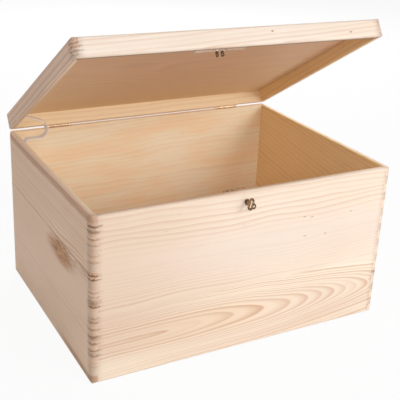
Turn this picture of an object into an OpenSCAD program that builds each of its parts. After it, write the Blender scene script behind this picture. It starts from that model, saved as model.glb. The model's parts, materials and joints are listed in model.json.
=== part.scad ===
// Wooden toy box with a hinged lid, a small box lock with its key, and a lid stay.
// Origin: middle of the underside. X runs left to right, Y front to back, Z up.

/* [Box] */
// width over the side walls
box_w = 400; // [300:1:600]
// depth over the front and back walls
box_d = 300; // [240:1:450]
// height of the body without its lid
body_h = 206; // [160:1:300]
// thickness of walls and lid rails
wall_t = 8; // [7.5:0.5:12]
// fingers in each upright corner joint, always odd
fingers = 19; // [9:2:25]
// radius of the upright outside corners
corner_r = 7; // [4:0.5:8]
// radius of the outside rim and bottom edges
edge_r = 3.5; // [2:0.5:4]
// ease on the inside rim edges
ease = 0.8; // [0.3:0.1:1.2]
// thickness of the bottom panel and the lid panel
panel_t = 5; // [3:0.5:8]
// how far each panel reaches into the walls
rebate_w = 3; // [2:0.5:4]
// clearance round each panel
panel_clear = 0.2; // [0.1:0.1:0.6]

/* [Lid] */
// height of the lid
lid_h = 22.5; // [21:0.5:40]
// height of the lower finger in each lid corner
lid_finger = 10; // [8:0.5:13]
// gap under the shut lid
lid_gap = 0.3; // [0.2:0.1:0.6]
// angle at which the lid stands open
lid_open = 31.4; // [5:0.1:60]
// height of the relief under the back corners of the lid
relief_h = 1; // [0.4:0.1:1.6]

/* [Hinges] */
// distance of the middle of each hinge from the end of the box
hinge_inset = 68; // [44:1:100]
// length of each hinge
hinge_len = 36; // [24:1:44]
// knuckles on each hinge, always odd
knuckles = 5; // [3:2:7]
// width of each leaf inside the back face
leaf_w = 6.5; // [6:0.5:7]
// thickness of each leaf
leaf_t = 1; // [0.8:0.1:1.2]
// outside radius of the knuckles
knuckle_r = 2; // [1.8:0.1:2.4]
// radius of the hinge pins
pin_r = 1.1; // [0.8:0.05:1.2]
// distance of the pins behind the back face
pin_back = 0.5; // [0.3:0.1:1.2]
// running clearance of pins, studs and posts
run = 0.05; // [0.02:0.01:0.1]
// clearance beside moving brass pieces
side_gap = 0.3; // [0.2:0.1:0.5]

/* [Screws] */
// shank radius of the small screws
screw_r = 0.9; // [0.7:0.1:1]
// head radius of the small screws
head_r = 1.7; // [1.4:0.1:1.9]
// shank radius of the large screws
big_screw_r = 1.1; // [0.9:0.1:1.3]
// head radius of the large screws
big_head_r = 2.4; // [2:0.1:2.8]
// length of every screw under its head
screw_len = 6.5; // [5:0.5:7]

/* [Lock] */
// middle of the lock case, measured from the middle of the box
lock_x = -20.5; // [-40:0.5:20]
// width of the lock case
lock_w = 27; // [27:0.5:34]
// height of the lock case
lock_h = 24; // [23:0.5:32]
// depth of the lock, with its plate
lock_d = 8; // [8:0.5:10]
// distance of the lock below the rim
lock_drop = 1.5; // [1.2:0.1:2.2]
// thickness of the brass sheet
sheet_t = 1; // [0.8:0.1:1.2]
// travel of the bolt
throw = 3.2; // [2.6:0.1:3.3]
// thickness of the bolt
bolt_t = 2; // [1.6:0.1:2.4]
// quarter turn that throws the bolt
key_turn = 90; // [80:1:90]
// angle at which the key stands, from bit down
key_rest = 15; // [0:1:60]
// distance of the key from the middle of the lock
key_dx = 9.5; // [9:0.1:9.6]
// distance of the key below the rim
key_drop = 12.5; // [12.2:0.1:13]

/* [Key] */
// outside radius of the key barrel
barrel_r = 2; // [1.8:0.1:2.2]
// reach of the bit from the key axis
bit_r = 4.6; // [4:0.1:4.8]
// thickness of the bit
bit_t = 1.8; // [1.2:0.1:2]
// length of the bit along the barrel
bit_len = 4; // [3:0.1:4.5]
// radius of the post inside the barrel
post_r = 1; // [0.8:0.05:1.1]
// free barrel between the front face and the bow
key_reach = 4.6; // [3:0.1:12]
// height of the bow
bow_h = 15; // [12:0.5:24]
// width of the bow along the barrel
bow_w = 9; // [8:0.5:9.2]
// thickness of the bow wire
bow_wire = 2.7; // [2.2:0.1:3]
// outside radius of the eye on the bow
eye_r = 3.4; // [3:0.1:3.6]
// thickness of the eye wire
eye_wire = 1.8; // [1.6:0.1:2.2]

/* [Stay] */
// width of the stay strap
strap_w = 10; // [6:0.5:11]
// thickness of the stay strap
strap_t = 0.9; // [0.6:0.1:1.2]
// distance of the wall anchor from the back face
stay_wall_y = 47; // [44:1:56]
// distance of the wall anchor below the rim
stay_wall_z = 8.7; // [8:0.1:14]
// distance of the lid anchor from the back face
stay_lid_y = 60; // [54:1:66]
// height of the lid anchor above the underside of the lid
stay_lid_z = 8; // [7:0.5:10]
// radius of the loop of the slack strap
loop_r = 12; // [8:0.5:14]
// radius of the bends beside the anchors
bend_r = 3.5; // [2:0.5:5]
// how far the slack strap bulges from the wall
bulge = 30.1; // [24:0.1:36]

/* [Hidden] */
$fn = 64;
eps = 1;
half_w = box_w/2;
half_d = box_d/2;
in_x = half_w - wall_t;
in_y = half_d - wall_t;
finger_h = body_h/fingers;
hinge_x = half_w - hinge_inset;
lid_z = body_h + lid_gap;
ledge_z = lid_z + lid_h - panel_t;
pin_y = half_d + pin_back;
pin_z = body_h + lid_gap/2;
pin_bore = pin_r + run;
scoop_r = knuckle_r + side_gap;
knuckle_l = hinge_len/knuckles;
leaf_y = half_d - leaf_w;
leaf_screw_y = half_d - 0.62*leaf_w;
leaf_screw_x = hinge_len/4;
relief_x = hinge_x + hinge_len/2 + 1;
lock_top = body_h - lock_drop;
lock_y = -in_y;
bolt_y = lock_y + lock_d/2;
case_y = lock_y + lock_d - sheet_t;
key_x = lock_x + key_dx;
key_z = body_h - key_drop;
keyhole_r = barrel_r + 1.1;
key_slot_w = bit_t + 1.6;
key_slot_r = bit_r + 0.4;
strip_h = 6;
lug_out = head_r + 0.5;
lug_z = lock_top - lock_h/2 - 4;
ear_t = 1.2;
ear_w = 4.8;
ear_pitch = 7;
ear_l = 6.9;
ear_x = lock_x - 6.5;
ear_play = 0.5;
ear_holes_z = lid_z - 4.4;
prong_h = 1.6;
link_w = 64;
link_h = 11;
link_x = lock_x - 5.5;
link_flange = lock_d - sheet_t;
link_screw_dx = 27;
bolt_top = lid_z - ear_l - ear_play;
bolt_bottom = key_z - bit_r - 3.1;
bolt_x0 = lock_x - lock_w/2 + sheet_t + throw + 1.2;
bolt_x1 = lock_x + lock_w/2 - sheet_t - 0.8;
notch_x = key_x - bit_r + 1.85;
stud_x = lock_x - 3.5;
stud_z = key_z - 1.5;
bolt_rest = throw*key_rest/key_turn;
key_tip = case_y - side_gap;
bow_y = -half_d - key_reach;
eye_y = bow_y - bow_w - eye_r + 0.9*eye_wire;
wall_anchor = [half_d - stay_wall_y, body_h - stay_wall_z];
lid_anchor = [half_d - stay_lid_y, lid_z + stay_lid_z];
lid_dy = lid_anchor[0] - pin_y;
lid_dz = lid_anchor[1] - pin_z;
hung_y = pin_y + lid_dy*cos(lid_open) + lid_dz*sin(lid_open);
hung_z = pin_z - lid_dy*sin(lid_open) + lid_dz*cos(lid_open);
chord_dy = hung_y - wall_anchor[0];
chord_dz = hung_z - wall_anchor[1];
chord = norm([chord_dy, chord_dz]);
chord_tilt = atan2(chord_dy, chord_dz);
strap_tab = strap_w/2 + 1;
strap_arm = bulge - strap_t - bend_r - loop_r;
big_head_h = 1.4;
pine = [0.91, 0.79, 0.66];
pine_dark = [0.80, 0.66, 0.52];
brass = [0.63, 0.52, 0.30];
clear_plastic = [0.92, 0.86, 0.85];

// ---- shared shapes ----

// moves a piece drawn on the shut lid to where the open lid holds it
module on_lid() {
    translate([0, pin_y, pin_z])
        rotate([-lid_open, 0, 0])
            translate([0, -pin_y, -pin_z])
                children();
}

module round_rect(w, h, r) {
    square([w - 2*r, h], center = true);
    square([w, h - 2*r], center = true);
    for (sx = [-1, 1], sy = [-1, 1])
        translate([sx*(w/2 - r), sy*(h/2 - r)])
            circle(r);
}

// outside form from z to z + h; the back edge at the hinges, above or below, stays square
module outside(z, h, hinge_side) {
    intersection() {
        translate([0, 0, z])
            linear_extrude(h)
                round_rect(box_w, box_d, corner_r);
        translate([0, half_d, z + h/2])
            rotate([90, 0, 0])
                linear_extrude(box_d)
                    round_rect(box_w, h, edge_r);
        translate([-half_w, 0, z + h/2])
            rotate([90, 0, 90])
                linear_extrude(box_w)
                    union() {
                        round_rect(box_d, h, edge_r);
                        translate([half_d/2, hinge_side*h/4])
                            square([half_d, h/2], center = true);
                    }
    }
}

// 45 degree ease along X or along Y on an inside edge
module ease_x(y, z) {
    translate([0, y, z])
        rotate([45, 0, 0])
            cube([2*in_x, ease*sqrt(2), ease*sqrt(2)], center = true);
}

module ease_y(x, z) {
    translate([x, 0, z])
        rotate([0, 45, 0])
            cube([ease*sqrt(2), 2*in_y, ease*sqrt(2)], center = true);
}

// seat of a panel whose lower face lies at z
module panel_seat(z) {
    translate([-in_x - rebate_w, -in_y - rebate_w, z])
        cube([2*(in_x + rebate_w), 2*(in_y + rebate_w), panel_t]);
}

module panel(z) {
    translate([-in_x - rebate_w + panel_clear, -in_y - rebate_w + panel_clear, z])
        cube([2*(in_x + rebate_w - panel_clear), 2*(in_y + rebate_w - panel_clear), panel_t]);
}

// countersunk screw pointing down, its head flush at z = 0
module flat_screw(grow) {
    translate([0, 0, -head_r + screw_r])
        cylinder(r1 = screw_r + grow, r2 = head_r + grow, h = head_r - screw_r);
    translate([0, 0, -screw_len])
        cylinder(r = screw_r + grow, h = screw_len - head_r + screw_r + 0.01);
}

module driver_slot(r, depth) {
    cube([2*r + eps, 0.5, 2*depth], center = true);
}

// screw pointing down with a raised head that stands on z = 0
module pan_screw(shank, head, head_h) {
    difference() {
        union() {
            cylinder(r1 = head, r2 = 0.7*head, h = head_h);
            translate([0, 0, -screw_len])
                cylinder(r = shank, h = screw_len + head_h/2);
        }
        translate([0, 0, head_h])
            driver_slot(head, head_h/2);
    }
}

// hole for a screw whose head stands on z = 0
module pan_hole(shank) {
    translate([0, 0, -screw_len - run])
        cylinder(r = shank + run, h = screw_len + 3);
}

// ---- places of repeated things ----

module at_hinge_screws(z, turn) {
    for (side = [-1, 1], end = [-1, 1])
        translate([side*hinge_x + end*leaf_screw_x, leaf_screw_y, z])
            rotate([turn, 0, 0])
                children();
}

module at_lock_screws() {
    for (end = [-1, 1]) {
        translate([lock_x + end*lock_w/3, lock_y + sheet_t, lock_top - lock_h - strip_h/2])
            rotate([-90, 0, 0])
                children();
        translate([lock_x + end*(lock_w/2 + lug_out), lock_y + sheet_t, lug_z])
            rotate([-90, 0, 0])
                children();
    }
}

module at_link_screws() {
    for (end = [-1, 1])
        translate([link_x + end*link_screw_dx, lock_y + sheet_t, lid_z + 0.55*link_h])
            rotate([-90, 0, 0])
                children();
}

module at_ears() {
    for (end = [-1, 1])
        translate([ear_x + end*ear_pitch/2, bolt_y, lid_z])
            children();
}

module at_wall_anchor(out) {
    translate([-in_x + out, wall_anchor[0], wall_anchor[1]])
        rotate([0, 90, 0])
            children();
}

module at_lid_anchor(out) {
    translate([-in_x + out, lid_anchor[0], lid_anchor[1]])
        rotate([0, 90, 0])
            children();
}

module at_key() {
    translate([key_x, 0, key_z])
        rotate([90, 0, 0])
            children();
}

// ---- cuts shared by pieces that meet ----

module keyhole(y, depth) {
    translate([key_x, y + depth, key_z])
        rotate([90, 0, 0])
            cylinder(r = keyhole_r, h = depth);
    translate([key_x - key_slot_w/2, y, key_z - key_slot_r])
        cube([key_slot_w, depth, key_slot_r]);
}

// room for both leaves and the knuckles of the two hinges
module hinge_seats() {
    for (side = [-1, 1]) {
        translate([side*hinge_x - hinge_len/2, leaf_y, body_h - leaf_t])
            cube([hinge_len, leaf_w + eps, lid_gap + 2*leaf_t]);
        translate([side*hinge_x - hinge_len/2, pin_y, pin_z])
            rotate([0, 90, 0])
                cylinder(r = scoop_r, h = hinge_len);
    }
}

module relief() {
    for (side = [-1, 1])
        translate([side*(relief_x + half_w)/2, half_d - wall_t/2, lid_z])
            cube([half_w - relief_x, wall_t, 2*relief_h], center = true);
}

// ---- box body ----

module front_blank(y) {
    translate([-in_x, y, 0])
        cube([2*in_x, wall_t, body_h]);
    for (k = [1:2:fingers - 1])
        translate([-half_w, y, k*finger_h])
            cube([box_w, wall_t, finger_h]);
}

module side_blank(x) {
    translate([x, -in_y, 0])
        cube([wall_t, 2*in_y, body_h]);
    for (k = [0:2:fingers - 1])
        translate([x, -half_d, k*finger_h])
            cube([wall_t, box_d, finger_h]);
}

module front_wall() {
    color(pine)
        difference() {
            intersection() {
                outside(0, body_h, 1);
                front_blank(-half_d);
            }
            panel_seat(0);
            ease_x(-in_y, body_h);
            keyhole(-half_d - eps, wall_t + 2*eps);
            at_lock_screws() pan_hole(screw_r);
        }
}

module back_wall() {
    color(pine)
        difference() {
            intersection() {
                outside(0, body_h, 1);
                front_blank(in_y);
            }
            panel_seat(0);
            ease_x(in_y, body_h);
            hinge_seats();
            at_hinge_screws(body_h, 0) flat_screw(run);
        }
}

module left_wall() {
    color(pine_dark)
        difference() {
            intersection() {
                outside(0, body_h, 1);
                side_blank(-half_w);
            }
            panel_seat(0);
            ease_y(-in_x, body_h);
            at_wall_anchor(strap_t) pan_hole(big_screw_r);
        }
}

module right_wall() {
    color(pine_dark)
        difference() {
            intersection() {
                outside(0, body_h, 1);
                side_blank(in_x);
            }
            panel_seat(0);
            ease_y(in_x, body_h);
        }
}

module bottom_panel() {
    color(pine)
        panel(0);
}

// ---- lid ----

module lid_front_blank(y) {
    translate([-in_x, y, lid_z])
        cube([2*in_x, wall_t, lid_h]);
    translate([-half_w, y, lid_z])
        cube([box_w, wall_t, lid_finger]);
}

module lid_side_blank(x) {
    translate([x, -in_y, lid_z])
        cube([wall_t, 2*in_y, lid_h]);
    translate([x, -half_d, lid_z + lid_finger])
        cube([wall_t, box_d, lid_h - lid_finger]);
}

module lid_front_rail() {
    color(pine)
        on_lid()
            difference() {
                intersection() {
                    outside(lid_z, lid_h, -1);
                    lid_front_blank(-half_d);
                }
                panel_seat(ledge_z);
                ease_x(-in_y, lid_z);
                at_link_screws() pan_hole(screw_r);
            }
}

module lid_back_rail() {
    color(pine)
        on_lid()
            difference() {
                intersection() {
                    outside(lid_z, lid_h, -1);
                    lid_front_blank(in_y);
                }
                panel_seat(ledge_z);
                ease_x(in_y, lid_z);
                hinge_seats();
                relief();
                at_hinge_screws(lid_z, 180) flat_screw(run);
            }
}

module lid_left_rail() {
    color(pine_dark)
        on_lid()
            difference() {
                intersection() {
                    outside(lid_z, lid_h, -1);
                    lid_side_blank(-half_w);
                }
                panel_seat(ledge_z);
                ease_y(-in_x, lid_z);
                relief();
                at_lid_anchor(strap_t) pan_hole(big_screw_r);
            }
}

module lid_right_rail() {
    color(pine_dark)
        on_lid()
            difference() {
                intersection() {
                    outside(lid_z, lid_h, -1);
                    lid_side_blank(in_x);
                }
                panel_seat(ledge_z);
                ease_y(in_x, lid_z);
                relief();
            }
}

module lid_panel() {
    color(pine)
        on_lid()
            panel(ledge_z);
}

// ---- hinges ----

// every second knuckle of a hinge, grown by a clearance
module knuckle_row(first, r, trim) {
    for (k = [first:2:knuckles - 1])
        translate([k*knuckle_l + trim, pin_y, pin_z])
            rotate([0, 90, 0])
                cylinder(r = r, h = knuckle_l - 2*trim);
}

// leaf with its knuckles, seen from the left end of the hinge
module leaf(z, first) {
    difference() {
        union() {
            translate([side_gap/2, leaf_y + panel_clear, z])
                cube([hinge_len - side_gap, leaf_w + pin_back - panel_clear - pin_bore - run, leaf_t]);
            knuckle_row(first, knuckle_r, side_gap/2);
        }
        knuckle_row(1 - first, scoop_r, -side_gap/2);
        translate([-eps, pin_y, pin_z])
            rotate([0, 90, 0])
                cylinder(r = pin_bore, h = hinge_len + 2*eps);
    }
}

module box_leaf(side) {
    color(brass)
        difference() {
            translate([side*hinge_x - hinge_len/2, 0, 0])
                leaf(body_h - leaf_t, 0);
            at_hinge_screws(body_h, 0) flat_screw(run);
        }
}

module lid_leaf(side) {
    color(brass)
        on_lid()
            difference() {
                translate([side*hinge_x - hinge_len/2, 0, 0])
                    leaf(lid_z, 1);
                at_hinge_screws(lid_z, 180) flat_screw(run);
            }
}

module hinge_pin(side) {
    color(brass)
        translate([side*hinge_x - hinge_len/2, pin_y, pin_z])
            rotate([0, 90, 0])
                cylinder(r = pin_r, h = hinge_len);
}

module hinge_screw() {
    difference() {
        flat_screw(0);
        driver_slot(head_r, 0.4);
    }
}

module left_hinge_box_leaf() {
    box_leaf(-1);
}

module right_hinge_box_leaf() {
    box_leaf(1);
}

module left_hinge_pin() {
    hinge_pin(-1);
}

module right_hinge_pin() {
    hinge_pin(1);
}

module hinge_box_screws() {
    color(brass)
        at_hinge_screws(body_h, 0) hinge_screw();
}

module left_hinge_lid_leaf() {
    lid_leaf(-1);
}

module right_hinge_lid_leaf() {
    lid_leaf(1);
}

module hinge_lid_screws() {
    color(brass)
        on_lid()
            at_hinge_screws(lid_z, 180) hinge_screw();
}

// ---- lock ----

module lock_plate() {
    color(brass)
        difference() {
            union() {
                translate([lock_x - lock_w/2, lock_y, lock_top - lock_h - strip_h])
                    cube([lock_w, sheet_t, lock_h + strip_h]);
                for (end = [-1, 1])
                    translate([lock_x + end*(lock_w/2 + lug_out), lock_y + sheet_t, lug_z])
                        rotate([90, 0, 0])
                            cylinder(r = head_r + 1, h = sheet_t);
                translate([lock_x - lock_w/2 + 3, lock_y, bolt_bottom - run - sheet_t])
                    cube([lock_w/2, lock_d/2 + bolt_t/2, sheet_t]);
            }
            keyhole(lock_y - eps, sheet_t + 2*eps);
            at_lock_screws() pan_hole(screw_r);
            translate([stud_x, lock_y + sheet_t + eps, stud_z])
                rotate([90, 0, 0])
                    cylinder(r = screw_r + run, h = sheet_t + 2*eps);
        }
}

// open tray that covers the lockwork, with two slots in its top for the ears
module lock_case() {
    color(brass)
        difference() {
            translate([lock_x - lock_w/2, lock_y + sheet_t, lock_top - lock_h])
                cube([lock_w, lock_d - sheet_t, lock_h]);
            translate([lock_x - lock_w/2 + sheet_t, lock_y, lock_top - lock_h + sheet_t])
                cube([lock_w - 2*sheet_t, lock_d - sheet_t, lock_h - 2*sheet_t]);
            at_ears()
                translate([0, 0, -lid_gap - lock_drop])
                    cube([ear_t + 2*ear_play, ear_w + 2*ear_play, 3*sheet_t], center = true);
            translate([key_x, case_y + 2*sheet_t, key_z])
                rotate([90, 0, 0])
                    cylinder(r = post_r + run, h = 3*sheet_t);
        }
}

module lock_post() {
    color(brass)
        translate([key_x, case_y + sheet_t, key_z])
            rotate([90, 0, 0])
                cylinder(r = post_r, h = lock_d + 3);
}

// stepped rivet on which the slotted bolt slides
module bolt_stud() {
    color(brass)
        translate([stud_x, lock_y, stud_z])
            rotate([-90, 0, 0]) {
                cylinder(r = screw_r, h = lock_d/2 + bolt_t/2 + run + 0.1);
                translate([0, 0, sheet_t])
                    cylinder(r = head_r, h = lock_d/2 - bolt_t/2 - run - sheet_t);
                translate([0, 0, lock_d/2 + bolt_t/2 + run])
                    cylinder(r = head_r, h = 0.7);
            }
}

module lock_screws() {
    color(brass)
        at_lock_screws() pan_screw(screw_r, head_r, 0.9);
}

module bolt_outline() {
    difference() {
        union() {
            translate([bolt_x0, bolt_bottom])
                square([bolt_x1 - bolt_x0, bolt_top - bolt_bottom]);
            for (end = [-1, 1])
                translate([ear_x + end*ear_pitch/2 + ear_t/2, 0]) {
                    translate([throw + side_gap, bolt_top - 1])
                        square([ear_pitch - ear_t - throw - 2*side_gap, ear_holes_z + prong_h/2 - bolt_top + 1]);
                    translate([ear_play, ear_holes_z - prong_h/2])
                        square([throw + side_gap, prong_h]);
                }
        }
        translate([notch_x, key_z - bit_r - ear_play])
            square([lock_w, bit_r + barrel_r + 2*ear_play]);
        translate([stud_x, stud_z - screw_r - run])
            square([throw, 2*(screw_r + run)]);
        for (dx = [0, throw])
            translate([stud_x + dx, stud_z])
                circle(screw_r + run);
    }
}

module lock_bolt() {
    color(brass)
        translate([-bolt_rest, bolt_y + bolt_t/2, 0])
            rotate([90, 0, 0])
                linear_extrude(bolt_t)
                    bolt_outline();
}

// ring of round wire in the plane of the key
module wire_ring(r, wire) {
    rotate([0, 90, 0])
        rotate_extrude()
            translate([r - wire/2, 0])
                circle(wire/2);
}

// long ring of round wire, height h and width w
module wire_oval(w, h, wire) {
    reach = (h - w)/2;
    for (end = [-1, 1]) {
        translate([0, 0, end*reach])
            intersection() {
                wire_ring(w/2, wire);
                translate([-w, -w, end < 0 ? -2*w : 0])
                    cube([2*w, 2*w, 2*w]);
            }
        translate([0, end*(w/2 - wire/2), -reach])
            cylinder(r = wire/2, h = 2*reach);
    }
}

module key() {
    color(brass)
        translate([key_x, 0, key_z])
            rotate([0, key_rest, 0]) {
                difference() {
                    translate([0, key_tip, 0])
                        rotate([90, 0, 0])
                            cylinder(r = barrel_r, h = key_tip - bow_y + bow_wire/2);
                    translate([0, key_tip + eps, 0])
                        rotate([90, 0, 0])
                            cylinder(r = post_r + run, h = lock_d + 6);
                }
                difference() {
                    translate([-bit_t/2, bolt_y - bit_len/2, -bit_r])
                        cube([bit_t, bit_len, bit_r]);
                    translate([0, bolt_y + bit_len, 0])
                        rotate([90, 0, 0])
                            cylinder(r = barrel_r - 0.3, h = 2*bit_len);
                }
                translate([0, bow_y - bow_w/2, 0])
                    wire_oval(bow_w, bow_h, bow_wire);
                translate([0, eye_y, 0])
                    wire_ring(eye_r, eye_wire);
            }
}

// angle plate on the lid with two ears that drop into the lock
module link_plate() {
    color(brass)
        on_lid()
            difference() {
                union() {
                    translate([link_x - link_w/2, lock_y, lid_z])
                        cube([link_w, sheet_t, link_h]);
                    translate([link_x - link_w/2, lock_y, lid_z])
                        cube([link_w, link_flange, sheet_t]);
                    at_ears()
                        translate([-ear_t/2, -ear_w/2, -ear_l])
                            cube([ear_t, ear_w, ear_l + sheet_t]);
                }
                at_ears()
                    translate([0, 0, ear_holes_z - lid_z])
                        cube([3*ear_t, bolt_t + 2*ear_play, prong_h + 2*ear_play], center = true);
                for (end = [-1, 1])
                    translate([ear_x + end*(ear_pitch/2 + ear_t/2 + 3), bolt_y, lid_z])
                        cube([5, ear_w, 3*sheet_t], center = true);
                at_link_screws() pan_hole(screw_r);
            }
}

module link_plate_screws() {
    color(brass)
        on_lid()
            at_link_screws() pan_screw(screw_r, head_r, 0.9);
}

// ---- lid stay ----

module ring_band(r) {
    difference() {
        circle(r + strap_t/2);
        circle(r - strap_t/2);
    }
}

// lower half of the slack strap seen from its edge, drawn from the middle of its loop
module strap_half() {
    translate([-strap_arm - bend_r - strap_t/2, -chord/2 - strap_tab])
        square([strap_t, chord/2 + strap_tab - loop_r - bend_r]);
    translate([-strap_arm, -loop_r - bend_r])
        intersection() {
            ring_band(bend_r);
            translate([-2*bend_r, 0])
                square(2*bend_r);
        }
    translate([-strap_arm, -loop_r - strap_t/2])
        square([strap_arm, strap_t]);
    intersection() {
        ring_band(loop_r);
        translate([0, -2*loop_r])
            square(2*loop_r);
    }
}

module stay_strap() {
    color(clear_plastic)
        translate([-in_x, wall_anchor[0], wall_anchor[1]])
            rotate([-chord_tilt, 0, 0])
                difference() {
                    rotate([90, 0, 0])
                        linear_extrude(strap_w, center = true)
                            translate([bulge - loop_r - strap_t/2, chord/2])
                                for (m = [0, 1])
                                    mirror([0, m])
                                        strap_half();
                    for (b = [0, chord])
                        translate([-eps, 0, b])
                            rotate([0, 90, 0])
                                cylinder(r = big_screw_r + side_gap, h = strap_t + 2*eps);
                }
}

module stay_wall_screw() {
    color(brass)
        at_wall_anchor(strap_t) pan_screw(big_screw_r, big_head_r, big_head_h);
}

module stay_lid_screw() {
    color(brass)
        on_lid()
            at_lid_anchor(strap_t) pan_screw(big_screw_r, big_head_r, big_head_h);
}

front_wall();
back_wall();
left_wall();
right_wall();
bottom_panel();
lid_front_rail();
lid_back_rail();
lid_left_rail();
lid_right_rail();
lid_panel();
left_hinge_box_leaf();
right_hinge_box_leaf();
left_hinge_pin();
right_hinge_pin();
hinge_box_screws();
left_hinge_lid_leaf();
right_hinge_lid_leaf();
hinge_lid_screws();
lock_plate();
lock_case();
lock_post();
bolt_stud();
lock_screws();
lock_bolt();
key();
link_plate();
link_plate_screws();
stay_strap();
stay_wall_screw();
stay_lid_screw();
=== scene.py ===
# %% [markdown]
# # A pine toy box, dressed for the camera
# The box itself comes from the packed CAD model: walls, lid, hinges, lock and key already
# have their true sizes. Blender adds what the CAD model can't have, which is the wood, the
# dull brass and the soft plastic of the lid stay. We load the model first.

# %% Load the box
import json
import math

import bmesh
import bpy
from mathutils import Matrix, Vector

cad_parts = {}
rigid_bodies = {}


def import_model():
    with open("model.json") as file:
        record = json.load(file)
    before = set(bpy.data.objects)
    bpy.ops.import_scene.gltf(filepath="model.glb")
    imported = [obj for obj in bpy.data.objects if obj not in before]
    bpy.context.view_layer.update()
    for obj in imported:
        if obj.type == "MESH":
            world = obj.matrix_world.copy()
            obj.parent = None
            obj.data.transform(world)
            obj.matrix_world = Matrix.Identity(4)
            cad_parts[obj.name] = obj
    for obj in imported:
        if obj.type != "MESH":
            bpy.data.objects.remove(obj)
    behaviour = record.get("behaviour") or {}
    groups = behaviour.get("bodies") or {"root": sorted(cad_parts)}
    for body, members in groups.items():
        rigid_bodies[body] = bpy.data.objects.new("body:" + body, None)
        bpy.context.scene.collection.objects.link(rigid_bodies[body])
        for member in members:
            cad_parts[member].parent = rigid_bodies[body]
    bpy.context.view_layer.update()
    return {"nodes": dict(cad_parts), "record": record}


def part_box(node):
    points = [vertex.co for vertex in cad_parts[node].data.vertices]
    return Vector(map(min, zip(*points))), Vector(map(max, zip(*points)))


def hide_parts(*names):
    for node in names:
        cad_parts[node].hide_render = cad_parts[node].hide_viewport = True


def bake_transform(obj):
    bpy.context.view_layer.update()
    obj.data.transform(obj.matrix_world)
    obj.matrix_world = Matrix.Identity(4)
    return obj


for thing in list(bpy.data.objects):
    bpy.data.objects.remove(thing)
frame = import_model()
nodes = frame["nodes"]

# %% [markdown]
# ## The camera
# The box is seen from the front left and from above, close enough for a little perspective.
# A camera is a place, a turn and a lens. The small vertical shift does what a view camera
# does: it frames the lid without tilting the camera, so upright edges stay calm.

# %% Camera
camera_data = bpy.data.cameras.new("camera")
camera_data.sensor_width = 36.0
camera_data.lens = 72.843
camera_data.shift_y = -0.05
camera = bpy.data.objects.new("camera", camera_data)
camera.location = (-0.473141, -0.863654, 0.553378)
camera.rotation_euler = (1.19283, -0.04619, -0.49210)
bpy.context.scene.collection.objects.link(camera)
bpy.context.scene.camera = camera
print("camera at", [round(v, 3) for v in camera.location])

# %% [markdown]
# ## Light
# A plain studio with four wide lamps. The key lamp stands in front and to the right, a
# second one fills from above the front, a weak one on the left leaves that end in gentle
# shade, and the last lights the back for whoever walks round the box. The inside is lit
# mostly by light that bounces from board to board, which makes bare pine look warm there.

# %% Lamps
def add_lamp(name, place, aim, size, watts):
    """A square lamp that looks from its place at a point on the box."""
    lamp = bpy.data.lights.new(name, "AREA")
    lamp.shape = "SQUARE"
    lamp.size = size
    lamp.energy = watts
    holder = bpy.data.objects.new(name, lamp)
    holder.location = place
    holder.rotation_euler = (Vector(aim) - Vector(place)).to_track_quat("-Z", "Y").to_euler()
    bpy.context.scene.collection.objects.link(holder)
    print(name, watts, "W")


add_lamp("key_lamp", (0.95, -1.7, 0.9), (0, 0, 0.12), 0.9, 19)
add_lamp("fill_lamp", (-0.3, -1.8, 1.3), (0, 0, 0.12), 1.0, 12.5)
add_lamp("side_lamp", (-1.7, -0.6, 0.9), (0, 0, 0.1), 1.2, 5.2)
add_lamp("back_lamp", (0.9, 1.8, 1.1), (0, 0, 0.12), 1.2, 30)

# %% [markdown]
# ## Shader maths that reads like arithmetic
# A procedural material is a small sum over the surface. Joining nodes by hand hides that
# sum, so one class wraps a socket and lets Python's own operators add the Maths nodes, and
# one method of a second class makes any other node. Vectors go through Vector Maths and
# colours through Mix, because a Maths node would turn them into a single number.

# %% Socket
class Socket:
    """What a node gives, ready for arithmetic."""

    def __init__(self, finish, out):
        self.finish, self.out = finish, out

    def maths(self, operation, *values):
        vector = self.out.type == "VECTOR"
        kind = "ShaderNodeVectorMath" if vector else "ShaderNodeMath"
        return self.finish.node(kind, {"operation": operation}, dict(enumerate(values)))

    def __add__(self, other):
        return self.maths("ADD", self, other)

    def __sub__(self, other):
        return self.maths("SUBTRACT", self, other)

    def __mul__(self, other):
        return self.maths("MULTIPLY", self, other)

    def __truediv__(self, other):
        return self.maths("DIVIDE", self, other)

    def __rsub__(self, other):
        return self.maths("SUBTRACT", other, self)

    __radd__ = __add__
    __rmul__ = __mul__

    def power(self, exponent):
        return self.maths("POWER", self, exponent)

    def fraction(self):
        return self.maths("FRACT", self)

    def floor(self):
        return self.maths("FLOOR", self)

    def size(self):
        return self.maths("ABSOLUTE", self)

    def lesser(self, other):
        return self.maths("MINIMUM", self, other)

    def greater(self, other):
        return self.maths("MAXIMUM", self, other)


print("a socket knows + - * / and", [word for word in vars(Socket) if word[0] != "_"])

# %% [markdown]
# The second class holds a material's or a world's node tree. Its `node` method takes the
# node's type, the settings that are fixed first, and the values or links of its sockets.
# The short methods below it are the handful of nodes that the wood needs again and again.

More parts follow.
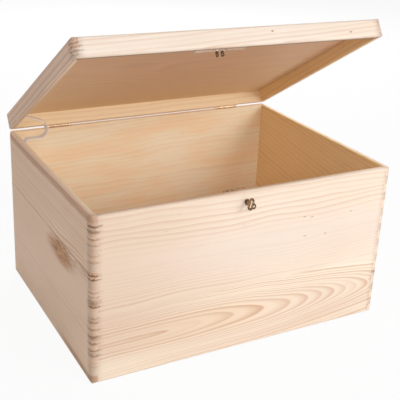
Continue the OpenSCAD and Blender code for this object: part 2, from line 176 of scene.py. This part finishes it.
# %% Finish
class Finish:
    """The shader of a material or a world."""

    def __init__(self, holder):
        holder.use_nodes = True
        self.holder, self.tree = holder, holder.node_tree
        self.tree.nodes.clear()

    def node(self, kind, settings=None, inputs=None, out=0):
        made = self.tree.nodes.new(kind)
        for key, value in (settings or {}).items():
            if key == "stops":
                self.set_stops(made.color_ramp, value)
            else:
                setattr(made, key, value)
        for key, value in (inputs or {}).items():
            if isinstance(value, Socket):
                self.tree.links.new(value.out, made.inputs[key])
            else:
                made.inputs[key].default_value = value
        return Socket(self, made.outputs[out]) if made.outputs else made

    def set_stops(self, ramp, stops):
        while len(ramp.elements) < len(stops):
            ramp.elements.new(0.5)
        for element, (place, shade) in zip(ramp.elements, stops):
            element.position = place
            element.color = (shade, shade, shade, 1)

    def ramp(self, value, *stops):
        return self.node("ShaderNodeValToRGB", {"stops": stops}, {0: value})

    def smooth(self, value, low, high):
        """0 at low and 1 at high, with soft ends."""
        return self.node("ShaderNodeMapRange", {"interpolation_type": "SMOOTHSTEP"},
                         {0: value, 1: low, 2: high})

    def mix(self, share, a, b):
        return self.node("ShaderNodeMix", {"data_type": "RGBA"}, {0: share, 6: a, 7: b}, out=2)

    def place(self):
        return self.node("ShaderNodeTexCoord", out="Object")

    def parts(self, vector):
        return [self.node("ShaderNodeSeparateXYZ", None, {0: vector}, out=axis) for axis in "XYZ"]

    def vector(self, x, y, z):
        return self.node("ShaderNodeCombineXYZ", None, {0: x, 1: y, 2: z})

    def noise(self, vector, scale=1.0, detail=2.0, roughness=0.5):
        return self.node("ShaderNodeTexNoise", None, {"Vector": vector, "Scale": scale,
                                                      "Detail": detail, "Roughness": roughness})

    def bump(self, height, strength, distance):
        return self.node("ShaderNodeBump", None,
                         {"Strength": strength, "Distance": distance, "Height": height})

    def end(self, **sockets):
        """Closes a material with its shader, and hands the material over."""
        shader = self.node("ShaderNodeBsdfPrincipled", None,
                           {name.replace("_", " "): value for name, value in sockets.items()})
        self.node("ShaderNodeOutputMaterial", None, {"Surface": shader})
        return self.holder


def new_finish(name):
    return Finish(bpy.data.materials.new(name))


print("finish helpers:", [word for word in vars(Finish) if word[0] != "_"])

# %% [markdown]
# Colours are written as a paint chart gives them. Shaders work in linear light, so one
# helper turns a chart colour into the form that they use.

# %% Paint
def paint(red, green, blue):
    """A colour from 0 to 255 in each light, in linear form."""
    return tuple(((c / 255 + 0.055) / 1.055) ** 2.4 if c > 10 else c / 3294.6
                 for c in (red, green, blue)) + (1.0,)


def tinted(shade, red, green, blue):
    """A colour with a share of each light, and never more than white."""
    return (min(1.0, shade[0] * red), min(1.0, shade[1] * green), min(1.0, shade[2] * blue), 1.0)


WHITE = paint(255, 255, 255)
print("white is", [round(c, 3) for c in WHITE])

# %% [markdown]
# ## Room and ground
# The room is a World shader with two strengths. Light that reaches the box comes from the
# dim one. Rays from the camera, and rays that left through a reflection, see plain white.

# %% White room
ROOM_STRENGTH = 0.18


def seen_white(finish):
    """1 for a ray from the camera, or one that a gloss or a clear surface sent on."""
    camera_ray, gloss_ray, clear_ray = [
        finish.node("ShaderNodeLightPath", out="Is %s Ray" % kind)
        for kind in ("Camera", "Glossy", "Transmission")]
    return camera_ray + gloss_ray + clear_ray


room = Finish(bpy.data.worlds.new("room"))
bpy.context.scene.world = room.holder
dim = room.node("ShaderNodeBackground", None, {"Color": WHITE, "Strength": ROOM_STRENGTH})
white = room.node("ShaderNodeBackground", None, {"Color": WHITE, "Strength": 1.0})
choice = room.node("ShaderNodeMixShader", None, {0: seen_white(room), 1: dim, 2: white})
room.node("ShaderNodeOutputWorld", None, {"Surface": choice})
print("room strength", ROOM_STRENGTH)

# %% [markdown]
# The ground is one large sheet just below the box. Most of what the camera sees of it is
# a plain white glow, and the rest is matt, so it looks white and still takes a shadow.

# %% Ground
GLOW_SHARE = 0.93

sheet = bmesh.new()
bmesh.ops.create_grid(sheet, x_segments=1, y_segments=1, size=6.0)
bmesh.ops.translate(sheet, verts=sheet.verts, vec=(0, 0, -0.0005))
ground_mesh = bpy.data.meshes.new("ground")
sheet.to_mesh(ground_mesh)
sheet.free()
ground = bpy.data.objects.new("ground", ground_mesh)
bpy.context.scene.collection.objects.link(ground)

white_ground = new_finish("white_ground")
matt = white_ground.node("ShaderNodeBsdfDiffuse", None, {"Color": (0.86, 0.86, 0.86, 1)})
glow = white_ground.node("ShaderNodeEmission", None, {"Color": WHITE, "Strength": 1.0})
both = white_ground.node("ShaderNodeMixShader", None,
                         {0: seen_white(white_ground) * GLOW_SHARE, 1: matt, 2: glow})
white_ground.node("ShaderNodeOutputMaterial", None, {"Surface": both})
ground_mesh.materials.append(white_ground.holder)
print("ground laid")

# %% [markdown]
# ## Pine: where a point lies on its board
# Wood has a direction, so the first thing a wood material needs is the distance along the
# grain and the two distances across it. Object coordinates give them, because every board
# sits at the origin with its place in its mesh. The lid was drawn open, so its boards are
# turned back round the hinge pin first: grain must not run askew because a lid stands open.

# %% Place on a board
lid_hinge = next(joint for joint in frame["record"]["behaviour"]["joints"]
                 if joint["name"] == "lid_hinge")
PIN = tuple(lid_hinge["pos_m"])
LID_ANGLE = math.radians(-lid_hinge["range_deg"][0])


def place_on_board(finish, along, turned):
    """Distance along the grain, and the two distances across it, in millimetres."""
    spot = finish.place()
    if turned:
        spot = finish.node("ShaderNodeVectorRotate", {"rotation_type": "X_AXIS"},
                           {"Vector": spot, "Center": PIN, "Angle": LID_ANGLE})
    x, y, z = [part * 1000 for part in finish.parts(spot)]
    return (x, y, z) if along == "X" else (y, x, z)


def end_grain(finish, along):
    """1 where the surface looks along the grain, 0 on the face of the board."""
    facing = finish.parts(finish.node("ShaderNodeTexCoord", out="Normal"))
    return finish.smooth(facing["XYZ".index(along)].size(), 0.55, 0.95)


print("lid drawn open by", round(math.degrees(LID_ANGLE), 1), "degrees round", PIN)

# %% [markdown]
# ## Pine: growth rings
# A board shows slices of a tree's growth rings, so the pattern is built as rings round a
# heart line that runs along the board, and the board's own surface cuts through them. Where
# the heart line dives below the surface the cut gives a flame of nested tips, and far from
# it the cut gives straight lines. End grain needs no extra work, because the rings are
# solid: a finger's end simply shows them from the side. A picture of wood could not do that.
# Each ring is pale at first and then darkens slowly, and ends in a sharp line.

# %% Rings
NARROW_RING = ((0, 0), (0.42, 0.06), (0.78, 0.6), (0.92, 1), (1, 0))
BROAD_RING = ((0, 0.1), (0.3, 0.05), (0.62, 0.55), (0.84, 1), (0.93, 0.95), (1, 0.1))


def ring_shade(finish, depth, seed, broad=False):
    """Growth rings from the distance to the heart, in rings: 0 pale wood, 1 the dark line."""
    ring = depth.floor() + seed
    strength = finish.node("ShaderNodeTexWhiteNoise", {"noise_dimensions": "1D"}, {"W": ring})
    line = finish.ramp(depth.fraction(), *(BROAD_RING if broad else NARROW_RING))
    return line * (strength * 0.75 + 0.25)


def length(*sides):
    """Distance from the origin, by Pythagoras."""
    total = sides[0] * sides[0]
    for side in sides[1:]:
        total = total + side * side
    return total.power(0.5)


def board_rings(finish, a, u, v, heart, slope, spacing, seed, wander):
    """Distance from the heart line of a board, counted in rings."""
    sway = finish.noise(finish.vector(a * 0.0035, u * 0.012, v * 0.012 + seed), 1.0, 2.0)
    ripple = finish.noise(finish.vector(a * 0.011, u * 0.05, v * 0.05 + seed), 1.0, 2.0)
    across = u - a * slope[0] - heart[0]
    up = v - a * slope[1] - heart[1] + (sway - 0.5) * wander + (ripple - 0.5) * (wander * 0.3)
    return length(across, up) / spacing


def fibres(finish, a, u, v, seed):
    """Fine streaks along the grain, round 0.5."""
    return finish.noise(finish.vector(a * 0.02, u * 0.5, v * 0.5 + seed), 1.0, 5.0, 0.7)


print("a ring darkens over", len(NARROW_RING), "stops")

# %% [markdown]
# ## Pine: inside and outside
# The inner faces look much warmer than the outer ones. Bounced light gives a part of that,
# and the rest is painted light: the inner faces get a warmer base colour, which stands in for
# more bounced light on the same pine. A board is one solid piece, so the material must tell
# its two faces apart. The distance from the outer face does that: it is nothing on the
# outside and grows through the wall. On the lid's top it must stay nothing as well, so the
# height is part of the mask: LID_TOP is the height of the shut box in millimetres.

# %% Inner side
wall_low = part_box("front_wall")[0]
HALF_WIDTH, HALF_DEPTH = [round(-side * 1000, 1) for side in wall_low.xy]
LID_TOP = 228.8
PALE = paint(250, 232, 214)
LINE = paint(214, 168, 132)
INSIDE = paint(255, 238, 207)


def plan_place(a, u, along):
    """From left to right and from front to back, whichever way the grain runs."""
    return (a, u) if along == "X" else (u, a)


def inner_side(finish, a, u, v, along):
    """0 on the outside of the box and 1 on the inside, across the thickness of a wall."""
    x, y = plan_place(a, u, along)
    depth = (HALF_WIDTH - x.size()).lesser(HALF_DEPTH - y.size())
    return finish.smooth(depth, 3.0, 7.0) * finish.smooth(v, LID_TOP - 1.5, LID_TOP - 3.0)


print("half width and depth, mm:", HALF_WIDTH, HALF_DEPTH)

# %% [markdown]
# ## Pine: painted shade at the corners, and small marks
# Along each front corner the wood is painted darker, as painted shade where the rounded fold
# turns from the light. Fingers that fold round a front corner show their cut ends, which soak
# up dirt. Each such mark is a short brown streak: its side, its height, its thickness and its
# strength. Noise frays its outline, so that the streaks don't look ruled. Resin ducts and pin
# knots are even simpler, because each is one small oval stretched along the grain.

# %% Marks
# Painted shade colour for the rounded front corners; STAIN is the real dirt in the cut ends.
FOLD_SHADE = paint(160, 116, 88)
STAIN = paint(124, 74, 40)


def corner_marks(finish, a, u, v, along, colour, marks):
    """Painted shade along each front corner, and short brown streaks where fingers fold round it,
    -1 left and 1 right.
    """
    x, y = plan_place(a, u, along)
    fray = finish.noise(finish.vector(x * 0.3, y * 0.3, v * 0.55), 1.0, 4.0, 0.75) - 0.5
    for side in (-1, 1):
        reach = (x * -side + HALF_WIDTH).greater(y + HALF_DEPTH)
        # Painted shade on the rounded fold: the wood darkens over the last 15 mm of each front
        # corner.
        painted_fold_shade = finish.smooth(reach + fray * 10, 15.0, 1.0)
        colour = finish.mix(painted_fold_shade * 0.42, colour, FOLD_SHADE)
        fold = finish.smooth(reach + fray * 34, 14.0, 4.0)
        for mark_side, height, thick, strength in marks:
            if mark_side == side:
                spread = (v - height + fray * 9).size()
                stain = finish.smooth(spread, thick * 1.25, thick * 0.3) * fold * strength
                colour = finish.mix(stain, colour, STAIN)
    return colour


def dashes(finish, colour, a, v, places, shade, long=3.2, high=0.9):
    """Short dark dashes along the grain, such as resin ducts or a pin knot."""
    for place in places:
        away = length((a - place[0]) / long, (v - place[1]) / high)
        colour = finish.mix(finish.smooth(away, 1.0, 0.3) * 0.7, colour, shade)
    return colour


# This prints the colour of the painted shade on the corners.
print("marks ready, worn edge", [round(c, 2) for c in FOLD_SHADE])

# %% [markdown]
# ## Pine: the whole finish
# One function stacks the layers, from large to small: the colour of the board with slow
# clouds in it, whatever is special on this board, the warmer inside, the rings, the fibres,
# a few flecks, the end grain and last the marks. Bare sanded wood is dull, so its shader
# reflects little, and the fibres roughen it and lift it by a fraction of a millimetre.

# %% Pine
END_PALE, END_DARK = paint(243, 220, 200), paint(218, 186, 158)
FLECK = paint(150, 112, 84)


def pine(name, along, heart, slope, spacing, seed, pale=PALE, dark=LINE, line=0.75,
         turned=False, shaped=None, inside=INSIDE, wander=9.0, marks=None):
    """Bare pine. `shaped` may change rings and colour, `inside` is a colour or makes one."""
    finish = new_finish(name)
    a, u, v = place_on_board(finish, along, turned)
    rings = ring_shade(finish, board_rings(finish, a, u, v, heart, slope, spacing, seed, wander),
                       seed)
    streak = fibres(finish, a, u, v, seed)
    cloud = finish.noise(finish.vector(a * 0.006, u * 0.02, v * 0.02 + seed), 1.0, 2.0)
    colour = finish.mix(finish.smooth(cloud, 0.3, 0.7), pale, tinted(pale, 0.955, 0.93, 0.90))
    if shaped:
        rings, colour = shaped(finish, a, u, v, rings, colour, pale)
    warm = inside(finish, a, u, v) if callable(inside) else inside
    colour = finish.mix(inner_side(finish, a, u, v, along), colour, warm)
    colour = finish.mix(rings * line, colour, dark)
    colour = finish.mix(finish.smooth(streak, 0.52, 0.8) * 0.25, colour, dark)
    flecks = finish.noise(finish.vector(a * 0.11, u * 0.9, v * 0.9 + seed), 1.0, 1.0)
    colour = finish.mix(finish.smooth(flecks, 0.74, 0.8) * 0.35, colour, FLECK)
    speckle = finish.noise(finish.vector(a * 0.2, u * 0.45, v * 0.45 + seed), 1.0, 3.0, 0.7)
    end_colour = finish.mix(finish.smooth(speckle, 0.3, 0.75), END_PALE, END_DARK)
    colour = finish.mix(end_grain(finish, along) * 0.4, colour, end_colour)
    if marks:
        colour = corner_marks(finish, a, u, v, along, colour, marks)
    return finish.end(Base_Color=colour, Roughness=streak * 0.16 + rings * -0.06 + 0.55,
                      Normal=finish.bump(streak * 0.6 + rings * 0.25, 0.35, 0.0004),
                      Specular_IOR_Level=0.22)


def dress(node, material):
    """Gives a board or a fitting from the CAD model its finish."""
    nodes[node].material_slots[0].material = material
    print(node, "wears", material.name, "with", len(material.node_tree.nodes), "nodes")


print("pine is ready, end grain from", [round(c, 2) for c in END_PALE])

# %% [markdown]
# ## The front wall
# The front wall is two boards glued edge to edge. The upper one has straight lines, wide
# apart near the rim and dense near the joint. The lower one has the flame. Both patterns
# are ring distances, so a single switch on height picks which one shows.

# %% Front wall
JOINT_Z = 84.0
FLAME_START, FLAME_HEIGHT = -128, 46
CORNER_MARKS = [
    (-1, 194, 1.8, 0.9), (-1, 188, 2.6, 0.6), (-1, 179, 1.5, 0.5), (-1, 172, 1.3, 0.45),
    (-1, 160, 1.2, 0.4), (-1, 152, 1.2, 0.4), (-1, 136.5, 1.6, 1.0), (-1, 131.5, 1.2, 0.9),
    (-1, 116, 1.0, 0.6), (-1, 110, 0.9, 0.6), (-1, 103, 4.5, 0.5), (-1, 98, 1.2, 0.8),
    (-1, 84, 1.4, 0.4), (-1, 79, 1.6, 0.5), (-1, 70, 1.8, 0.5), (-1, 60, 2.6, 0.55),
    (-1, 52, 1.8, 0.6), (-1, 43, 1.4, 0.6), (-1, 37, 1.8, 0.5), (-1, 22, 1.0, 0.3),
    (1, 196, 1.4, 0.5), (1, 118, 1.2, 0.3), (1, 60, 2.2, 0.45), (1, 50, 1.8, 0.6),
    (1, 30, 1.4, 0.4), (1, 10, 1.8, 0.5)]
DUCTS = [(73, 160), (84, 158), (143, 156), (107, 132), (76, 134)]


def front_rings(finish, a, v, sway, ripple, up):
    """The flame of the lower board and the straight lines of the upper one."""
    past = a - FLAME_START
    dive = (past + (past * past + 600).power(0.5)) * 0.056
    reach = length(up, dive)
    flame = reach / 4.7 + finish.smooth(reach, 20, 46) * 5
    high = v + (sway - 0.5) * 26 + (ripple - 0.5) * 5 + a * 0.014
    straight = high / 6.6 + finish.smooth(high, 150, 74) * 22
    quiet = 1 - finish.smooth(high, 104, 118) * finish.smooth(high, 172, 150) * 0.6
    calm = 1 - finish.smooth(high, 118, 96) * (1 - finish.smooth(a, 90, -110)) * 0.7
    return (ring_shade(finish, flame + 0.3, 3.0, broad=True) * 0.95,
            ring_shade(finish, straight, 5.0) * quiet * calm * 0.8)


def front_boards(finish, a, u, v, rings, colour, pale):
    sway = finish.noise(finish.vector(a * 0.004, u * 0.01, v * 0.012), 1.0, 2.0)
    ripple = finish.noise(finish.vector(a * 0.012, u * 0.02, v * 0.05), 1.0, 2.0)
    up = v - FLAME_HEIGHT + (sway - 0.5) * 14 + (ripple - 0.5) * 4
    lower = finish.smooth(v + (sway - 0.5) * 6, JOINT_Z + 0.8, JOINT_Z - 0.8)
    flame, straight = front_rings(finish, a, v, sway, ripple, up)
    rings = flame * lower + straight * (1 - lower)
    grey = finish.smooth(v, 96, 124) * finish.smooth(v, 176, 140)
    colour = finish.mix(grey * 0.6, colour, paint(243, 224, 211))
    cream = lower * finish.smooth(v, 50, 84)
    colour = finish.mix(cream * 0.8, colour, paint(255, 240, 220))
    heartwood = lower * finish.smooth(up.size(), 30, 3) * finish.smooth(a, 150, -60)
    colour = finish.mix(heartwood * 0.5, colour, paint(250, 220, 188))
    far = finish.smooth(a, 10, -190)
    colour = finish.mix(far * 0.9, colour, tinted(pale, 0.87, 0.80, 0.745))
    foot = finish.smooth(v + (sway - 0.5) * 12, 38, 18) * far
    colour = finish.mix(foot * 0.75, colour, paint(255, 240, 219))
    return rings * (1 - foot * 0.45), dashes(finish, colour, a, v, DUCTS, paint(150, 126, 112))


dress("front_wall", pine("pine_front", "X", (-160, 47), (0, 0), 4.6, 3.0, line=0.85,
                         shaped=front_boards, inside=paint(228, 190, 152), marks=CORNER_MARKS))

# %% [markdown]
# ## The left wall
# The left wall is two boards as well, with a dark joint line and a small knot just under it.
# A knot is a branch: the rings bend round it and it is brown. Here a stretched distance
# from its middle pushes the rings aside and stains the wood. A shaded line runs below the
# rim, and a stain runs along the foot next to the front corner.

# %% Left wall
LEFT_JOINT_Z = 136.0
KNOT_PLACE, KNOT_REACH = (-54, 121.5), (42, 14.5)


def left_knot(finish, a, u, v, away, colour):
    """The brown eye of the knot, with dark fibres torn out towards the front corner."""
    fleck = finish.noise(finish.vector(a * 0.04, u * 0.3, v * 0.45), 1.0, 3.0)
    hair = finish.noise(finish.vector(a * 0.05 + v * 0.06, u * 0.3, v * 0.8), 1.0, 3.0, 0.7)
    knot = finish.smooth(away + (fleck - 0.5) * 1.9 + (hair - 0.5) * 2.2, 1.3, 0.3)
    colour = finish.mix(knot * 0.75, colour, paint(216, 148, 92))
    eye = finish.smooth(hair, 0.47, 0.57) * finish.smooth(away, 1.3, 0.6)
    colour = finish.mix(eye * 0.8, colour, paint(124, 76, 44))
    torn = finish.smooth((v - 130).size(), 8, 2) * finish.smooth(a, -20, -75)
    colour = finish.mix(torn * finish.smooth(hair, 0.48, 0.58) * 0.55, colour, paint(138, 88, 54))
    return colour, fleck


def left_boards(finish, a, u, v, rings, colour, pale):
    sway = finish.noise(finish.vector(a * 0.004, u * 0.01, v * 0.012 + 5), 1.0, 2.0) - 0.5
    away = length((a - KNOT_PLACE[0]) / KNOT_REACH[0], (v - KNOT_PLACE[1]) / KNOT_REACH[1])
    high = v + sway * 14 + finish.smooth(away, 2.6, 0.2) * 9
    upper = finish.smooth(v + sway * 5, LEFT_JOINT_Z - 0.8, LEFT_JOINT_Z + 0.6)
    rings = ring_shade(finish, high / 4.4 + upper * 3.37 + finish.smooth(high, 100, 30) * 5, 9.0)
    crowded = finish.smooth((v - 140).size(), 26, 2) * finish.smooth(a, 0, -110)
    rings = rings * (0.35 + upper * 0.65 + crowded * 0.6)
    colour, fleck = left_knot(finish, a, u, v, away, colour)
    joint = finish.smooth((v - LEFT_JOINT_Z + sway * 5).size(), 1.8, 0.3)
    colour = finish.mix(joint * (finish.smooth(a, 30, -70) * 0.35 + 0.18), colour,
                        paint(148, 100, 70))
    foot = finish.smooth((v - 9 - a * 0.02 + sway * 8).size(), 7, 1)
    foot = foot * finish.smooth(a, -20, -90)
    colour = finish.mix(foot * 0.6, colour, paint(170, 122, 84))
    band = finish.smooth(v + sway * 9 + (fleck - 0.5) * 5, 194.0, 200.5)
    band = band * finish.smooth(v, 205.2, 203.0)
    return rings, finish.mix(band * 0.6, colour, paint(176, 126, 94))


dress("left_wall", pine("pine_left", "Y", (-150, 40), (0, 0), 4.6, 11.0, paint(255, 225, 199),
                        paint(208, 146, 106), shaped=left_boards, marks=CORNER_MARKS))

# %% [markdown]
# ## The other boards of the box
# The other boards only need a heart line of their own: its place across the board, how it
# slopes, and how far apart the rings are. No two boards share one, because no two boards
# come from the same place in a tree.

# %% Back, right and bottom
WARM_LINE = paint(228, 166, 116)
ORANGE = paint(255, 222, 170)


def patchy(finish, a, u, v):
    """The back wall inside: slow clouds of deeper orange."""
    cloud = finish.noise(finish.vector(a * 0.009, 0.0, v * 0.045), 1.0, 2.0)
    return finish.mix(finish.smooth(cloud, 0.35, 0.68), INSIDE, paint(255, 225, 185))


def pin_knots(*places):
    """Makes the step that adds pin knots at these places along and up a board."""
    def shaped(finish, a, u, v, rings, colour, pale):
        return rings, dashes(finish, colour, a, v, places, FLECK, 2.6, 1.6)
    return shaped


dress("back_wall", pine("pine_back_wall", "X", (90, 20), (0.02, 0.01), 6.5, 21.0, line=0.24,
                        inside=patchy, wander=34.0, shaped=pin_knots((-59, 159), (-88, 92))))
dress("right_wall", pine("pine_right_wall", "Y", (120, 40), (0.1, 0.06), 6.0, 27.0, line=0.5,
                         dark=WARM_LINE, inside=ORANGE, wander=30.0))
dress("bottom_panel", pine("pine_bottom_panel", "X", (40, -90), (0.0, 0.02), 5.2, 33.0,
                           line=0.45, inside=paint(226, 184, 142), wander=14.0))

# %% [markdown]
# ## The lid
# The lid has four rails and a panel. Its rails carry corner marks and the painted corner shade
# as well, between the two fingers of each corner. The panel's underside is painted darker and
# pinker towards the front, as painted shade under the front rail, and the front rail's inner
# face is painted dark brown, as painted shade as well.

# %% Lid boards
GREY_LINE = paint(146, 112, 90)
LID_MARKS = [(-1, 209.5, 0.9, 0.5), (-1, 213.5, 1.1, 0.6), (-1, 218, 0.9, 0.5),
             (-1, 222, 1.0, 0.55), (-1, 226, 0.8, 0.4), (1, 210, 1.0, 0.5), (1, 224, 0.9, 0.35)]


def underside_painted_shade(finish, a, u, v):
    """The lid panel inside: painted shade, darker and pinker to the front, warmer to the back."""
    return finish.mix(finish.smooth(u, -110, 120), paint(240, 197, 162), paint(255, 225, 184))


def lid_board(node, along, heart, slope, spacing, seed, marks=LID_MARKS, **more):
    dress(node, pine("pine_" + node, along, heart, slope, spacing, seed, turned=True,
                     marks=marks, **more))


# The front rail's inner face is painted dark brown: painted shade under the lid's front edge.
lid_board("lid_front_rail", "X", (-190, 150), (0.02, 0.03), 4.6, 39.0, line=0.55,
          pale=paint(249, 233, 218), inside=paint(158, 121, 98),
          shaped=pin_knots((40, 221), (150, 214)))
lid_board("lid_back_rail", "X", (240, 120), (0.01, 0.02), 4.9, 45.0, line=0.4,
          inside=paint(255, 230, 192), wander=12.0)
lid_board("lid_left_rail", "Y", (-290, 262), (0.02, 0.03), 3.4, 51.0, line=0.7,
          pale=paint(248, 214, 190), dark=GREY_LINE)
lid_board("lid_right_rail", "Y", (260, 150), (0.06, 0.04), 4.4, 57.0, line=0.45,
          dark=WARM_LINE, inside=ORANGE, wander=12.0)
lid_board("lid_panel", "X", (-30, 120), (0.03, 0.02), 5.6, 63.0, marks=None, line=0.3,
          inside=underside_painted_shade, wander=24.0)

# %% [markdown]
# ## Antique brass
# Small fittings like these are plated steel, brushed and darkened. Metal is colour plus
# roughness: a patchy roughness reads as handling, and a darker tone settles in patches.
# Hinges and lock case are paler. The link plate is painted almost white with little metal in
# it, a painted reflection of the bright room, except for its two ears, which are painted dark
# brown as painted shade. The ears are what hangs below EARS_BELOW, a height in millimetres on
# the shut box, so the same turning back that the lid's boards use finds them.

# %% Brass
EARS_BELOW = 206.1


def antique_brass(name, light, shade, metal=1.0, shade_below=None):
    finish = new_finish(name)
    spot = finish.place()
    patch = finish.noise(spot, 260.0, 3.0, 0.6)
    grain = finish.noise(spot, 2600.0, 2.0, 0.6)
    colour = finish.mix(finish.smooth(patch, 0.35, 0.72), light, shade)
    if shade_below:
        height = place_on_board(finish, "X", True)[2]
        # Painted shade: the link plate's ears below that height are darkened.
        painted_ear_shade = finish.smooth(height, shade_below, shade_below - 0.8)
        colour = finish.mix(painted_ear_shade, colour, paint(96, 70, 48))
    return finish.end(Base_Color=colour, Metallic=metal,
                      Roughness=patch * 0.22 + grain * 0.1 + 0.2,
                      Normal=finish.bump(grain + patch, 0.3, 0.0001))


brass = antique_brass("antique_brass", paint(166, 136, 104), paint(86, 64, 44))
worn = antique_brass("worn_brass", paint(232, 206, 176), paint(190, 152, 116), 0.6)
# Painted reflection: the link plate is near white with little metal, and its ears get painted
# shade.
plate_brass_painted_sheen = antique_brass("plate_painted_sheen", paint(255, 244, 230), paint(240, 216, 192), 0.3,
                       EARS_BELOW)
for part in frame["record"]["subparts"]:
    if part["material_slot"] == "brass":
        fitting = part["node"]
        pale_metal = "hinge" in fitting or fitting == "lock_case"
        dress(fitting, plate_brass_painted_sheen if fitting == "link_plate" else worn if pale_metal else brass)

# %% [markdown]
# ## The lid stay
# A soft plastic strap keeps the lid from falling back. It is slack now, so it bulges into
# the box in a loop. We sweep one rounded strip along the loop: extrude for a straight run
# and spin for a bend, the way a strip is fed through a bender.

# %% Strip bender
SWEEP_STEP = 0.002


def sweep_strap(width, thickness, steps):
    """A strip with rounded edges, fed upwards through straight runs and bends round Y."""
    work = bmesh.new()
    bmesh.ops.create_grid(work, x_segments=1, y_segments=1, size=0.5)
    bmesh.ops.scale(work, verts=work.verts, vec=(thickness, width, 1))
    bmesh.ops.bevel(work, geom=work.verts, offset=thickness * 0.32, segments=3, profile=0.5,
                    affect="VERTICES", material=-1)
    bmesh.ops.translate(work, verts=work.verts, vec=(thickness / 2, 0, 0))
    rim = list(work.edges)
    heading = Vector((0, 0, 1))
    spot = Vector((thickness / 2, 0, 0))
    for kind, amount, radius in steps:
        if kind == "straight":
            count = max(1, round(amount / SWEEP_STEP))
            for _ in range(count):
                grown = bmesh.ops.extrude_edge_only(work, edges=rim)["geom"]
                corners = [g for g in grown if isinstance(g, bmesh.types.BMVert)]
                bmesh.ops.translate(work, verts=corners, vec=heading * (amount / count))
                rim = [g for g in grown if isinstance(g, bmesh.types.BMEdge)
                       and all(c in corners for c in g.verts)]
            spot = spot + heading * amount
        else:
            side = Vector((heading.z, 0, -heading.x)) * (1 if amount > 0 else -1)
            centre = spot + side * radius
            turned = bmesh.ops.spin(work, geom=rim, cent=centre, axis=(0, 1, 0), angle=amount,
                                    steps=max(4, round(abs(amount) * 8)), use_duplicate=False)
            rim = [g for g in turned["geom_last"] if isinstance(g, bmesh.types.BMEdge)]
            turn = Matrix.Rotation(amount, 3, "Y")
            spot = centre + turn @ (spot - centre)
            heading = turn @ heading
    bmesh.ops.contextual_create(work, geom=rim)
    bmesh.ops.remove_doubles(work, verts=work.verts, dist=1e-6)
    bmesh.ops.recalc_face_normals(work, faces=work.faces)
    return work


print("strip bender ready, step", SWEEP_STEP * 1000, "mm")

# %% [markdown]
# The loop's numbers follow from the two screws: the strip leaves the lower one, bends out
# into the box, turns back in a wide bend and comes home to the upper one. Its upper arm
# slopes down a little, as a slack strap's does. What is left of the run is worked out, so
# that the strip ends exactly one tab's length past the upper screw.

# %% Strap
STRAP_THICK, STRAP_WIDE, TAB = 0.0009, 0.010, 0.006
BEND, LOOP = 0.0035, 0.012
QUARTER, SLOPE = math.pi / 2, math.radians(20)


def middle(node):
    low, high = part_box(node)
    return (low + high) / 2


strap_low, strap_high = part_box("stay_strap")
anchor, hook = middle("stay_wall_screw"), middle("stay_lid_screw")
chord = Vector((0, hook.y - anchor.y, hook.z - anchor.z))
arm = (strap_high.x - strap_low.x) - STRAP_THICK - BEND - LOOP
first = TAB + chord.length / 2 - LOOP - BEND
upper_arm = (arm + (LOOP + BEND) * math.sin(SLOPE)) / math.cos(SLOPE)
climb = (first + BEND + LOOP * (1 + math.cos(SLOPE)) + upper_arm * math.sin(SLOPE)
         + BEND * math.cos(SLOPE))
last = 2 * TAB + chord.length - climb
work = sweep_strap(STRAP_WIDE, STRAP_THICK, [
    ("straight", first, 0), ("bend", QUARTER, BEND), ("straight", arm, 0),
    ("bend", SLOPE - 2 * QUARTER, LOOP), ("straight", upper_arm, 0),
    ("bend", QUARTER - SLOPE, BEND), ("straight", last, 0)])
lean = math.atan2(chord.y, chord.z)
bmesh.ops.translate(work, verts=work.verts, vec=(0, 0, -TAB))
bmesh.ops.rotate(work, verts=work.verts, cent=(0, 0, 0), matrix=Matrix.Rotation(-lean, 3, "X"))
bmesh.ops.translate(work, verts=work.verts, vec=(strap_low.x, anchor.y, anchor.z))
strap_mesh = bpy.data.meshes.new("lid_stay_strap")
work.to_mesh(strap_mesh)
work.free()
for face in strap_mesh.polygons:
    face.use_smooth = True
strap = bpy.data.objects.new("lid_stay_strap", strap_mesh)
bpy.context.scene.collection.objects.link(strap)
print("strap", [round(v, 4) for v in strap.dimensions], "faces", len(strap_mesh.polygons))

# %% [markdown]
# The plastic is milky and lets a little of the wood through.

# %% Strap plastic
plastic = new_finish("strap_plastic")
milk = plastic.noise(plastic.place(), 120.0, 2.0)
scuff = plastic.noise(plastic.place(), 900.0, 3.0)
milky = plastic.mix(milk, paint(255, 246, 242), paint(246, 232, 226))
strap_mesh.materials.append(plastic.end(Base_Color=milky, Roughness=scuff * 0.2 + 0.25,
                                        Alpha=milk * 0.14 + 0.82,
                                        Normal=plastic.bump(scuff, 0.15, 0.0001)))
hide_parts("stay_strap")
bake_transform(strap)
print("strap blends over", round(chord.length * 1000, 1), "mm")

# %% [markdown]
# ## Finish
# The view transform stays plain, so that a colour renders as it is written.

# %% Finish
bpy.context.scene.view_settings.view_transform = "Standard"
